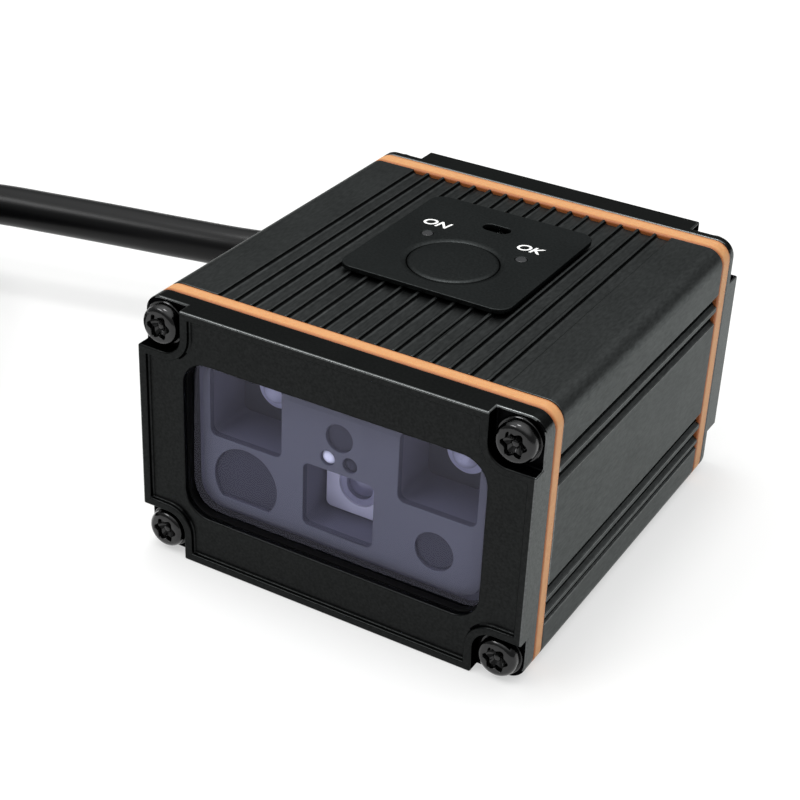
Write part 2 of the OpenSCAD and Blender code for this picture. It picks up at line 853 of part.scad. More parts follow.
module aiming_lenses() {
    r = aim_r - close_fit;
    dome_h = 0.3;
    sphere_r = (r * r + dome_h * dome_h) / (2 * dome_h);
    color("#e8e8f4", 0.8) for (x = [-aim_x, aim_x])
        translate([x, chassis_front_y, mid_z + aim_z]) rotate([90, 0, 0]) {
            cylinder(r = r, h = disc_t);
            intersection() {
                cylinder(r = r, h = disc_t + dome_h);
                translate([0, 0, disc_t + dome_h - sphere_r]) sphere(sphere_r);
            }
        }
}

module light_board() {
    color("#1f5b3a") difference() {
        along_y(chassis_back_y, light_board_back_y)
            round_rect_at(0, mid_z, chassis_w - 1.6, chassis_h - 0.4, 1);
        along_y(chassis_back_y - past, light_board_back_y + past)
            round_rect_at(0, mid_z + eye_z, eye_w, eye_h, eye_r);
        for (x = [-post_x, post_x], z = [mid_z - post_z, mid_z + post_z])
            rod_y(x, z, chassis_back_y - past, light_board_back_y + past, post_bore_r);
    }
}

module light_emitters() {
    color("#f4e9a8") for (x = [-well_x, well_x])
        translate([x - emitter_side / 2, chassis_back_y - emitter_h, mid_z + lamp_well_z - emitter_side / 2])
            cube([emitter_side, emitter_h, emitter_side]);
}

// Domed lens over each white emitter, on a foot ring that stands on the board
module light_lenses() {
    color("#d6d6e6", 0.7) for (x = [-well_x, well_x])
        translate([x, chassis_back_y, mid_z + lamp_well_z]) rotate([90, 0, 0]) difference() {
            union() {
                cylinder(r = light_lens_r, h = light_lens_base);
                intersection() {
                    translate([0, 0, light_lens_base - 0.4]) sphere(light_dome_r + 0.2);
                    cylinder(r = light_dome_r, h = light_dome_r + 1);
                }
            }
            translate([0, 0, -past]) cylinder(r = emitter_side * 0.72, h = emitter_h + past + close_fit);
        }
}

module lens_mount() {
    color("#a9a9b8") difference() {
        along_y(mount_front_y, sensor_front_y) round_rect_at(0, mid_z + eye_z, mount_w, mount_h, eye_r);
        rod_y(0, mid_z + eye_z, mount_front_y - past, sensor_front_y + past, barrel_r + close_fit);
        along_y(sensor_front_y - sensor_pocket, sensor_front_y + past)
            round_rect_at(0, mid_z + eye_z, sensor_w + 1, sensor_h + 1, 0.3);
    }
}

module lens_barrel() {
    color("#1b1b1f") difference() {
        rod_y(0, mid_z + eye_z, mount_front_y + barrel_set, mount_front_y + barrel_set + barrel_len,
            barrel_r);
        rod_y(0, mid_z + eye_z, mount_front_y, mount_front_y + barrel_len + past, barrel_bore_r);
    }
}

module lens_glass() {
    apex_y = mount_front_y + barrel_set + 0.1;
    color("#7f86a8", 0.6) intersection() {
        rod_y(0, mid_z + eye_z, apex_y, apex_y + lens_len, lens_r);
        translate([0, apex_y + lens_sphere_r, mid_z + eye_z]) sphere(lens_sphere_r);
    }
}

module image_sensor() {
    color("#20232c") along_y(sensor_front_y - sensor_t, sensor_front_y)
        translate([0, mid_z + eye_z]) square([sensor_w, sensor_h], center = true);
}

module sensor_board() {
    color("#1f5b3a") difference() {
        along_y(sensor_front_y, sensor_back_y) round_rect_at(0, mid_z, sensor_board_w, sensor_board_h, 0.6);
        for (x = [-post_x, post_x], z = [mid_z - post_z, mid_z + post_z])
            rod_y(x, z, sensor_front_y - past, sensor_back_y + past, post_bore_r);
    }
}

module engine_spacers() {
    color("#c7a24e") for (x = [-post_x, post_x], z = [mid_z - post_z, mid_z + post_z]) difference() {
        rod_y(x, z, light_board_back_y, sensor_front_y, post_r);
        rod_y(x, z, light_board_back_y - past, sensor_front_y + past, post_bore_r);
    }
}

module engine_screws() {
    color("#8d9094") for (x = [-post_x, post_x], z = [mid_z - post_z, mid_z + post_z]) {
        rod_y(x, z, sensor_back_y, sensor_back_y + engine_head_h, engine_head_r);
        rod_y(x, z, chassis_back_y - engine_screw_bite, sensor_back_y, engine_screw_r);
    }
}

// Flat ribbon from the sensor board's back down to its socket on the decoder board
module engine_ribbon() {
    color("#c98a3c") translate([-ribbon_w / 2, sensor_back_y, ribbon_z]) {
        cube([ribbon_w, ribbon_t, mid_z - ribbon_z]);
        cube([ribbon_w, engine_socket_y - sensor_back_y, ribbon_t]);
    }
}

module decoder_board() {
    color("#1f5b3a") translate([-decoder_w / 2, decoder_front_y, decoder_z])
        cube([decoder_w, decoder_back_y - decoder_front_y, board_t]);
}

// Packaged part on the decoder board, about a place
module chip(x, y, w, l, h) {
    translate([x - w / 2, y - l / 2, 0]) cube([w, l, h]);
}

module decoder_chips() {
    row_x = decoder_w * 0.28;
    front_row_y = decoder_front_y + chip_gap + decoder_chip / 2;
    rear_row_y = decoder_back_y - chip_gap - inductor_side / 2;
    color("#1a1b1e") translate([0, 0, decoder_top]) {
        chip(-row_x, front_row_y, decoder_chip, decoder_chip, chip_t);
        chip(row_x, front_row_y, memory_w, memory_l, chip_t);
        chip(row_x, rear_row_y, inductor_side, inductor_side, inductor_h);
        chip(-row_x, rear_row_y, regulator_w, regulator_l, chip_t);
    }
}

module ribbon_sockets() {
    color("#e6e0d0") {
        translate([-socket_w / 2, engine_socket_y, decoder_top]) cube([socket_w, socket_l, socket_h]);
        translate([-socket_w / 2, panel_socket_y - socket_l / 2, decoder_top])
            cube([socket_w, socket_l, socket_h]);
    }
}

// Header on the decoder board, level with the cable's outlet
module lead_header() {
    top = outlet_z + crimp_h / 2;
    color("#e6e0d0") translate([outlet_px - header_w / 2, header_y, decoder_top])
        cube([header_w, header_l, top - decoder_top]);
}

// Crimped end of the lead's cores between the header and the boot's collar
module lead_crimp() {
    end_y = header_y + header_l;
    color("#c8c4b8") {
        translate([outlet_px - crimp_w / 2, end_y, outlet_z - crimp_h / 2]) cube([crimp_w, crimp_l, crimp_h]);
        rod_y(outlet_px, outlet_z, end_y + crimp_l, cover_front_y - boot_collar_t, lead_core_r);
    }
}

// Right-angled moulded boot: a collar behind the cover, a neck through it and a ringed taper to the left
module cable_boot() {
    taper_start = 4;
    span = boot_len - taper_start;
    ring_step = span / (boot_rings + 0.5);
    color("#191919") {
        rod_y(outlet_px, outlet_z, cover_front_y - boot_collar_t, cover_front_y, boot_collar_r);
        rod_y(outlet_px, outlet_z, cover_front_y - boot_collar_t, back_y, boot_neck_r);
        rod_y(outlet_px, outlet_z, back_y, back_y + boot_flange_t, boot_flange_r);
        rod_y(outlet_px, outlet_z, back_y, boot_axis_y, boot_knuckle_r);
        translate([outlet_px, boot_axis_y, outlet_z]) {
            sphere(boot_knuckle_r);
            rotate([0, -90, 0]) {
                cylinder(r = boot_knuckle_r, h = taper_start);
                difference() {
                    translate([0, 0, taper_start]) cylinder(r1 = boot_knuckle_r, r2 = boot_tip_r, h = span);
                    for (i = [1:boot_rings]) {
                        z = taper_start + i * ring_step;
                        r = boot_knuckle_r + (boot_tip_r - boot_knuckle_r) * i * ring_step / span;
                        translate([0, 0, z - boot_ring_w / 2]) difference() {
                            cylinder(r = boot_knuckle_r + past, h = boot_ring_w);
                            cylinder(r = r - boot_ring_depth, h = boot_ring_w);
                        }
                    }
                }
            }
        }
    }
}

// Round tube swept along a route of points, its rings upright across the route
function unit(v) = v / norm(v);
function heading(route, i) = unit(route[min(i + 1, len(route) - 1)] - route[max(i - 1, 0)]);
function ring(centre, along, r) =
    let (side = unit(cross(along, [0, 0, 1])), up = cross(side, along))
    [for (k = [0:cable_sides - 1])
        centre + r * (cos(k * 360 / cable_sides) * side + sin(k * 360 / cable_sides) * up)];

module tube(route, r) {
    last = len(route) - 1;
    n = cable_sides;
    points = [for (i = [0:last]) each ring(route[i], heading(route, i), r)];
    walls = [for (i = [0:last - 1], k = [0:n - 1]) each [
        [i * n + k, (i + 1) * n + k, i * n + (k + 1) % n],
        [i * n + (k + 1) % n, (i + 1) * n + k, (i + 1) * n + (k + 1) % n]
    ]];
    start = [for (k = [0:n - 1]) k];
    end = [for (k = [n - 1:-1:0]) last * n + k];
    polyhedron(points, concat([start], walls, [end]));
}

module cable_lead() {
    color("#161616") tube(lead_route, cable_d / 2);
}

module cable_tail() {
    color("#161616") tube(tail_route, cable_d / 2);
}

// Outer shape of the wound turns
module cable_coil() {
    half = coil_rows * cable_d / 2;
    height = coil_layers * cable_d;
    color("#161616") translate([coil_x, coil_y, coil_lift]) rotate_extrude()
        translate([coil_mid_r, height / 2]) round_rect(2 * half, height, cable_d / 2);
}

// Strap round the turns on the side towards the reader
module coil_tie() {
    inner_w = coil_rows * cable_d;
    inner_h = coil_layers * cable_d;
    color("#2a2a2a") translate([coil_x + coil_mid_r, coil_y + tie_w / 2, coil_lift + inner_h / 2])
        rotate([90, 0, 0]) linear_extrude(tie_w) difference() {
            round_rect(inner_w + 2 * tie_t, inner_h + 2 * tie_t, cable_d / 2);
            round_rect(inner_w, inner_h, cable_d / 2 - tie_t);
        }
}

// Moulded grip of the plug, with its neck towards the cable
module plug_body() {
    color("#191919") {
        along_plug(0, plug_neck_l) circle(plug_neck_r);
        along_plug(plug_neck_l, plug_body_l) round_rect(plug_body_w, plug_body_h, plug_body_r);
    }
}

// Solid between two distances from the cable's end along the plug
module along_plug(from, to) {
    translate([plug_x, plug_y - from, plug_z]) rotate([90, 0, 0]) linear_extrude(to - from) children();
}

module plug_shell() {
    color("#c4c6c8") difference() {
        along_plug(plug_body_l, plug_body_l + plug_shell_l) difference() {
            round_rect(plug_shell_w, plug_shell_h, plug_insert_r + plug_shell_t / 2);
            round_rect(plug_shell_w - 2 * plug_shell_t, plug_shell_h - 2 * plug_shell_t, plug_insert_r / 2);
        }
        for (x = [-plug_latch_x, plug_latch_x])
            translate([plug_x + x, plug_y - plug_body_l - plug_latch_y, plug_z])
                cube([plug_latch, plug_latch, plug_shell_h + past], center = true);
    }
}

module plug_insert() {
    color("#e8e8ea") along_plug(plug_body_l, plug_body_l + plug_insert_l)
        translate([0, (plug_shell_h - plug_insert_h) / 2 - plug_shell_t])
            round_rect(plug_shell_w - 2 * plug_shell_t, plug_insert_h, plug_insert_r);
}

housing_sleeve();
front_gasket();
rear_gasket();
front_bezel();
window_bond();
window_pane();
rear_cover();
front_screws();
front_washers();
rear_screws();
rear_washers();
key_panel();
trigger_key();
switch_plunger();
trigger_switch();
power_light_pipe();
read_light_pipe();
status_lamps();
buzzer();
buzzer_seal();
panel_board();
panel_screws();
panel_ribbon();
engine_mask();
engine_chassis();
chassis_screws();
cover_discs();
aiming_lenses();
light_board();
light_emitters();
light_lenses();
lens_mount();
lens_barrel();
lens_glass();
image_sensor();
sensor_board();
engine_spacers();
engine_screws();
engine_ribbon();
decoder_board();
decoder_chips();
ribbon_sockets();
lead_header();
lead_crimp();
cable_boot();
cable_lead();
cable_coil();
cable_tail();
coil_tie();
plug_body();
plug_shell();
plug_insert();
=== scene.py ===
import math

import bmesh
import bpy
from mathutils import Matrix, Vector


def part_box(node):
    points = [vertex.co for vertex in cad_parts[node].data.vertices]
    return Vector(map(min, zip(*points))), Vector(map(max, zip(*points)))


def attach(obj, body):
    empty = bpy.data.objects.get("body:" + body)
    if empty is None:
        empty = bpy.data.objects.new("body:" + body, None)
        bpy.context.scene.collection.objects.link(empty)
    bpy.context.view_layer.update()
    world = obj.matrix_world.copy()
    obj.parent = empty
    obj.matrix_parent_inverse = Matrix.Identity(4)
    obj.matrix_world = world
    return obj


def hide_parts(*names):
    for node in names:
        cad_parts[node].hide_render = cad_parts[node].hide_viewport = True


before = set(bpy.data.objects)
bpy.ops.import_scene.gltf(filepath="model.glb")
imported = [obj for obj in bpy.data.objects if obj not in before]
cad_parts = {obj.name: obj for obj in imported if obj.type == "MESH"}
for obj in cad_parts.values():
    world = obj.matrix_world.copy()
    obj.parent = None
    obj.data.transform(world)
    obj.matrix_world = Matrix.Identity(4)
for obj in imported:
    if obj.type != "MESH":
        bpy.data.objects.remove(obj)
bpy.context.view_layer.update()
scene = bpy.context.scene
scene.view_settings.view_transform = "Standard"


# The view
# A long lens looks down on the reader's front right corner, as in the photograph, with a slight roll.
# The reader stands on a white paper sweep under two small soft boxes and a pale room.
azimuth, elevation, roll = (math.radians(a) for a in (29.046, 30.268, 2.667))
aside, ahead = math.sin(azimuth) * math.cos(elevation), math.cos(azimuth) * math.cos(elevation)
back = Vector((aside, -ahead, math.sin(elevation)))
level = Vector((math.cos(azimuth), math.sin(azimuth), 0))
upright = back.cross(level)
camera = bpy.data.objects.new("camera", bpy.data.cameras.new("camera"))
camera.data.lens = 78.457
camera.data.sensor_width = 36
camera.data.clip_start = 0.01
turned = Matrix((level * math.cos(roll) + upright * math.sin(roll),
                 upright * math.cos(roll) - level * math.sin(roll), back)).transposed().to_4x4()
viewpoint = (0.0841165, -0.1633293, 0.121418)
camera.matrix_world = Matrix.Translation(viewpoint) @ turned
scene.collection.objects.link(camera)
scene.camera = camera


def linear(hex_colour):
    """The linear colour, with alpha, of an sRGB hex value."""
    channels = [int(hex_colour[i:i + 2], 16) / 255 for i in (1, 3, 5)]
    return [c / 12.92 if c <= 0.04045 else ((c + 0.055) / 1.055) ** 2.4 for c in channels] + [1.0]


def add(tree, kind, inputs=None, **settings):
    """A node with its settings. An input given as a socket is linked, any other value is set."""
    node = tree.nodes.new(kind)
    for name, value in settings.items():
        setattr(node, name, value)
    for name, value in (inputs or {}).items():
        if isinstance(value, bpy.types.NodeSocket):
            tree.links.new(value, node.inputs[name])
        else:
            node.inputs[name].default_value = value
    return node


def material_of(name, colour, roughness, **sockets):
    """A material of one Principled shader, with its tree and its shader."""
    material = bpy.data.materials.new(name)
    material.use_nodes = True
    shader = material.node_tree.nodes["Principled BSDF"]
    shader.inputs["Base Color"].default_value = linear(colour)
    shader.inputs["Roughness"].default_value = roughness
    for socket, value in sockets.items():
        shader.inputs[socket.replace("_", " ")].default_value = value
    return material, material.node_tree, shader


# The paper is shown white to the camera and in reflections, and keeps a share of the reader's shadow
white_to_camera, white_in_mirror = 0.5, 0.6
paper, paper_tree, paper_shader = material_of("white_paper", "#F6F6F5", 0.85, Specular_IOR_Level=0.1)
ray = add(paper_tree, "ShaderNodeLightPath").outputs
mirrored = add(paper_tree, "ShaderNodeMath", {0: ray["Is Glossy Ray"], 1: ray["Is Transmission Ray"]},
               operation="ADD")
reflected = add(paper_tree, "ShaderNodeMath", {0: mirrored.outputs[0], 1: white_in_mirror},
                operation="MULTIPLY")
direct = add(paper_tree, "ShaderNodeMath", {0: ray["Is Camera Ray"], 1: white_to_camera},
             operation="MULTIPLY")
share = add(paper_tree, "ShaderNodeMath", {0: direct.outputs[0], 1: reflected.outputs[0]},
            operation="ADD")
white = add(paper_tree, "ShaderNodeEmission", {"Strength": 1.0})
pale = add(paper_tree, "ShaderNodeMixShader",
           {0: share.outputs[0], 1: paper_shader.outputs[0], 2: white.outputs[0]})
paper_tree.links.new(pale.outputs[0], paper_tree.nodes["Material Output"].inputs["Surface"])
reach, floor_z = 1.6, -2e-5
floor_corners = [(x * reach, y * reach, floor_z) for x, y in ((-1, -1), (1, -1), (1, 1), (-1, 1))]
floor_mesh = bpy.data.meshes.new("paper_sweep")
floor_mesh.from_pydata(floor_corners, [], [(0, 1, 2, 3)])
floor_mesh.materials.append(paper)
floor = bpy.data.objects.new("paper_sweep", floor_mesh)
scene.collection.objects.link(floor)

# The room is dim at its horizon and bright overhead, so that black tops stay dark
horizon, zenith = 0.27, 1.8
room = bpy.data.worlds.new("pale_room")
scene.world = room
room.use_nodes = True
backdrop = room.node_tree.nodes["Background"]
heading = add(room.node_tree, "ShaderNodeSeparateXYZ",
              {"Vector": add(room.node_tree, "ShaderNodeTexCoord").outputs["Generated"]})
ceiling = add(room.node_tree, "ShaderNodeMapRange",
              {"Value": heading.outputs["Z"], "From Min": 0.4, "From Max": 1.0, "To Min": horizon,
               "To Max": zenith}, interpolation_type="SMOOTHSTEP")
room.node_tree.links.new(ceiling.outputs["Result"], backdrop.inputs["Strength"])
backdrop.inputs["Color"].default_value = linear("#FDFEFE")

for name, width, height, watts, stand in (("soft_box", 0.15, 0.15, 1.05, (-0.08, 0.03, 0.62)),
                                          ("front_box", 0.26, 0.1, 0.7, (-0.25, -0.285, 0.44))):
    lamp = bpy.data.objects.new(name, bpy.data.lights.new(name, "AREA"))
    lamp.data.shape = "RECTANGLE"
    lamp.data.size = width
    lamp.data.size_y = height
    lamp.data.energy = watts
    facing_in = Vector(stand).to_track_quat("Z", "Y").to_matrix().to_4x4()
    lamp.matrix_world = Matrix.Translation(stand) @ facing_in
    scene.collection.objects.link(lamp)


# Housing sleeve
# One length of aluminium extruded with flutes on its top, paired grooves in its sides and screw
# channels in its corners. It is cut, drilled, fine blasted and anodised black, which gives it a dark,
# soft metallic gloss. Painted light lies on its sides, a painted highlight on the lips along the
# grooves, and painted shade in the grooves and on the flute walls.
MM = 0.001


def plain(piece):
    """Turns a piece's modifiers into its mesh."""
    evaluated = piece.evaluated_get(bpy.context.evaluated_depsgraph_get())
    mesh = bpy.data.meshes.new_from_object(evaluated)
    piece.modifiers.clear()
    piece.data = mesh
    return mesh


def seat(piece, material, *nodes, body="reader"):
    """Gives a piece its material, its body and the CAD nodes that it stands for."""
    if piece.type == "MESH" and not piece.data.materials:
        piece.data.materials.append(material)
    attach(piece, body)
    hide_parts(*nodes)
    return piece


def dressed(node, material, edge, segments=3, body="reader", edge_highlight=None):
    """A copy of a CAD node with its triangles merged and its sharp edges rounded, its rounded edges
    given a second material where said, for a painted highlight.
    """
    shape = bmesh.new()
    shape.from_mesh(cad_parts[node].data)
    bmesh.ops.remove_doubles(shape, verts=shape.verts, dist=1e-6)
    bmesh.ops.dissolve_limit(shape, angle_limit=math.radians(0.4), verts=shape.verts, edges=shape.edges)
    mesh = bpy.data.meshes.new(node + "_form")
    shape.to_mesh(mesh)
    shape.free()
    piece = bpy.data.objects.new(node + "_form", mesh)
    scene.collection.objects.link(piece)
    rounding = piece.modifiers.new("rounded_edges", "BEVEL")
    rounding.width = edge * MM
    rounding.segments = segments
    rounding.limit_method = "ANGLE"
    rounding.angle_limit = math.radians(40)
    rounding.use_clamp_overlap = False
    if edge_highlight:
        mesh.materials.append(material)
        mesh.materials.append(edge_highlight)
        rounding.material = 1
    for face in mesh.polygons:
        face.use_smooth = True
    flatness = piece.modifiers.new("flat_faces", "WEIGHTED_NORMAL")
    flatness.weight = 100
    low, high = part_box(node)
    for point in plain(piece).vertices:
        point.co = [min(max(c, a), b) for c, a, b in zip(point.co, low, high)]
    return seat(piece, material, node, body=body)


def anodised(name, colour, roughness, stretch, edge="#CDCFCE", sides=1.0):
    """Blasted and anodised aluminium: a dark metal with a fine grain, drawn at 0.3 mm so that it shows,
    stretched along the length where the die left its marks, and with painted light on the sides, whose
    colour is raised by a factor."""
    material, tree, shader = material_of(name, colour, roughness, Metallic=1.0,
                                         Specular_Tint=linear(edge))
    place = add(tree, "ShaderNodeTexCoord").outputs
    along = add(tree, "ShaderNodeMapping", {"Vector": place["Object"], "Scale": (1.0, stretch, 1.0)})
    grain = add(tree, "ShaderNodeTexNoise", {"Vector": along.outputs["Vector"],
                                             "Scale": 1 / (0.3 * MM), "Detail": 3.0}).outputs["Fac"]
    cloud = add(tree, "ShaderNodeTexNoise", {"Vector": place["Object"], "Scale": 1 / (9 * MM),
                                             "Detail": 2.0}).outputs["Fac"]
    gloss = add(tree, "ShaderNodeMapRange", {"Value": cloud, "From Min": 0.3, "From Max": 0.7,
                                             "To Min": roughness - 0.03, "To Max": roughness + 0.04})
    tree.links.new(gloss.outputs["Result"], shader.inputs["Roughness"])
    bump = add(tree, "ShaderNodeBump", {"Height": grain, "Strength": 0.35, "Distance": 0.03 * MM})
    tree.links.new(bump.outputs["Normal"], shader.inputs["Normal"])
    fleck_and_side_light = add(tree, "ShaderNodeMapRange", {"Value": grain, "From Min": 0.3, "From Max": 0.7,
                                             "To Min": 0.78, "To Max": 1.22}).outputs["Result"]
    # Painted light: where a face points sideways its colour is raised up to the sides factor
    if sides > 1.0:
        facing = add(tree, "ShaderNodeSeparateXYZ", {"Vector": place["Normal"]})
        sideways = add(tree, "ShaderNodeMath", {0: facing.outputs["X"]}, operation="ABSOLUTE")
        painted_side_light = add(tree, "ShaderNodeMapRange", {"Value": sideways.outputs[0], "From Min": 0.3,
                                                   "From Max": 0.95, "To Min": 1.0, "To Max": sides})
        fleck_and_side_light = add(tree, "ShaderNodeMath", {0: fleck_and_side_light, 1: painted_side_light.outputs["Result"]},
                    operation="MULTIPLY").outputs[0]
    shade = add(tree, "ShaderNodeVectorMath", {0: linear(colour)[:3], "Scale": fleck_and_side_light},
                operation="SCALE")
    tree.links.new(shade.outputs["Vector"], shader.inputs["Base Color"])
    return material


# Painted light on the sleeve's sides raises their colour by up to 1.45
sleeve_black = anodised("anodised_aluminium_extruded", "#424444", 0.36, 0.3, sides=1.45)
# Painted shade: a darker anodised material for the insides of the grooves and the flute walls
groove_painted_shade = anodised("anodised_aluminium_painted_groove_shade", "#222323", 0.42, 0.3, "#8E9090")
# Painted highlight: a lighter anodised material for the rounded lips along the grooves
lip_painted_highlight = anodised("anodised_aluminium_painted_lip_highlight", "#6E7070", 0.26, 0.3)
sleeve = dressed("housing_sleeve", sleeve_black, 0.12, 2, edge_highlight=lip_painted_highlight)
sleeve.data.materials.append(groove_painted_shade)
sleeve_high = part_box("housing_sleeve")[1]
skin, corner, groove_floor, flute_foot = 0.1 * MM, 4.0 * MM, 1.0 * MM, 0.42 * MM
lit_slope = 0.55
# Painted shade: groove faces that do not face up, and the flute walls, get the groove material. Painted
# highlight: the rounded lips of the side grooves keep the lip material.
for face in sleeve.data.polygons:
    inward, drop = sleeve_high.x - abs(face.center.x), sleeve_high.z - face.center.z
    on_side = corner < drop < sleeve_high.z - corner
    shaded_in_groove = on_side and skin < inward < groove_floor and face.normal.z < lit_slope
    shaded_flute_wall = skin < drop < flute_foot and inward > corner
    lit_lip = on_side and inward <= skin and face.material_index == 1
    face.material_index = 2 if shaded_in_groove or shaded_flute_wall else 1 if lit_lip else 0


# Gaskets
# Two flat frames of orange silicone, die cut from sheet and squeezed between the sleeve and each end
# frame. Soft, matte and faintly translucent, with a slight mottle, and painted shade along both edges
# where they meet the sleeve and the frames.


def silicone(name, middle, thickness):
    """Silicone sheet that is pale in its middle, with painted shade towards its two edges where it
    meets other parts.
    """
    bleed = (0.9 * MM, 0.45 * MM, 0.25 * MM)
    material, tree, shader = material_of(name, "#D6A06C", 0.55, Subsurface_Weight=0.1,
                                         Subsurface_Scale=1.0, Subsurface_Radius=bleed)
    place = add(tree, "ShaderNodeTexCoord").outputs["Object"]
    mottle = add(tree, "ShaderNodeTexNoise", {"Vector": place, "Scale": 1 / (0.8 * MM),
                                              "Detail": 3.0}).outputs["Fac"]
    tint = add(tree, "ShaderNodeMix", {"Factor": mottle, 6: linear("#C48853"), 7: linear("#D29C68")},
               data_type="RGBA")
    along = add(tree, "ShaderNodeSeparateXYZ", {"Vector": place}).outputs["Y"]
    apart = add(tree, "ShaderNodeMath", {0: along, 1: middle}, operation="SUBTRACT")
    off_middle = add(tree, "ShaderNodeMath", {0: apart.outputs[0]}, operation="ABSOLUTE")
    # Painted shade: the colour turns brown towards both faces of the sheet, where it meets the sleeve
    # and a frame
    edge_shade = add(tree, "ShaderNodeMapRange",
                  {"Value": off_middle.outputs[0], "From Min": 0.2 * thickness,
                   "From Max": 0.5 * thickness}, interpolation_type="SMOOTHSTEP")
    shaded = add(tree, "ShaderNodeMix", {"Factor": edge_shade.outputs["Result"], 6: tint.outputs[2],
                                         7: linear("#9C5626")}, data_type="RGBA")
    tree.links.new(shaded.outputs[2], shader.inputs["Base Color"])
    bump = add(tree, "ShaderNodeBump", {"Height": mottle, "Strength": 0.2, "Distance": 0.05 * MM})
    tree.links.new(bump.outputs["Normal"], shader.inputs["Normal"])
    return material


for gasket in ("front_gasket", "rear_gasket"):
    low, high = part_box(gasket)
    sheet = silicone("silicone_sheet_" + gasket, (low.y + high.y) / 2, high.y - low.y)
    dressed(gasket, sheet, 0.3, 3)


# End frames
# The windowed bezel and the plain rear cover are milled from aluminium plate with a notch at each
# corner for a screw, blasted and anodised black. Their sides and rounded outer edges carry a painted
# highlight, and the notches are painted black as shade.
frame_black = anodised("anodised_aluminium_milled", "#222323", 0.3, 1.0)
# Painted highlight: a lighter anodised material for the frames' sides and outer edges
edge_painted_highlight = anodised("anodised_aluminium_painted_edge_highlight", "#5C5E5E", 0.22, 1.0)
# Painted shade: a near black material for the corner notches around the screws
notch_painted_shade = anodised("anodised_aluminium_painted_notch_shade", "#0C0C0D", 0.42, 1.0, "#6E7070")
notch_reach, rim, past_washer = 6.3 * MM, 0.3 * MM, 1.0 * MM
for end_frame, washers, outward in (("front_bezel", "front_washers", -1),
                                    ("rear_cover", "rear_washers", 1)):
    plate = dressed(end_frame, frame_black, 0.2, 3, edge_highlight=edge_painted_highlight)
    plate.data.materials.append(notch_painted_shade)
    plate_low, plate_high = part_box(end_frame)
    washer_low, washer_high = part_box(washers)
    flange_y = washer_high.y if outward < 0 else washer_low.y
    notch_depth = washer_high.y - washer_low.y + past_washer
    for face in plate.data.polygons:
        beside, below = plate_high.x - abs(face.center.x), plate_high.z - face.center.z
        over_base = face.center.z - plate_low.z
        raised = outward * (face.center.y - flange_y)
        # Painted shade: faces in the corner notches get the near black notch material
        near_corner = beside < notch_reach and min(below, over_base) < notch_reach
        in_notch = near_corner and -0.1 * MM < raised < notch_depth
        # Painted highlight: the outer sides and the rounded outer edges get the lighter edge material
        on_side = beside < rim and abs(face.normal.x) > 0.7
        on_edge = face.material_index == 1 and min(beside, below) < rim
        face.material_index = 1 if on_side or on_edge else 2 if in_notch else 0


# Housing screws and washers
# Each end frame is held by four black zinc steel screws with low round heads, a six-lobed recess and
# a pin in its middle, each over a plain washer in the corner notch. They are glossy, with light scuffs.
screw_black, screw_tree, screw_shader = material_of("black_zinc_steel", "#161617", 0.24, Metallic=1.0,
                                                    Coat_Weight=0.8, Coat_Roughness=0.11)
screw_place = add(screw_tree, "ShaderNodeTexCoord").outputs["Object"]
scuff = add(screw_tree, "ShaderNodeTexNoise",
            {"Vector": screw_place, "Scale": 1 / (0.5 * MM), "Detail": 4.0}).outputs["Fac"]
scuffed = add(screw_tree, "ShaderNodeMapRange",
              {"Value": scuff, "From Min": 0.35, "From Max": 0.7, "To Min": 0.16, "To Max": 0.34})
screw_tree.links.new(scuffed.outputs["Result"], screw_shader.inputs["Roughness"])
dents = add(screw_tree, "ShaderNodeBump", {"Height": scuff, "Strength": 0.4, "Distance": 0.05 * MM})
for normal in ("Normal", "Coat Normal"):
    screw_tree.links.new(dents.outputs["Normal"], screw_shader.inputs[normal])


def turned_mesh(name, rings, sides, lobes=6):
    """A shape turned about Z from rings of (radius, lobe, height) in millimetres, with closed ends."""
    points, faces = [], []
    for radius, lobe, height in rings:
        for k in range(sides):
            angle = 2 * math.pi * k / sides
            r = (radius + lobe * math.cos(lobes * angle)) * MM
            points.append((r * math.cos(angle), r * math.sin(angle), height * MM))
    for i in range(len(rings) - 1):
        for k in range(sides):
            a, b = i * sides + k, i * sides + (k + 1) % sides
            faces.append((a, b, b + sides, a + sides))
    faces.append(tuple(reversed(range(sides))))
    faces.append(tuple(range((len(rings) - 1) * sides, len(rings) * sides)))
    mesh = bpy.data.meshes.new(name)
    mesh.from_pydata(points, [], faces)
    mesh.shade_smooth()
    mesh.set_sharp_from_angle(angle=math.radians(42))
    return mesh


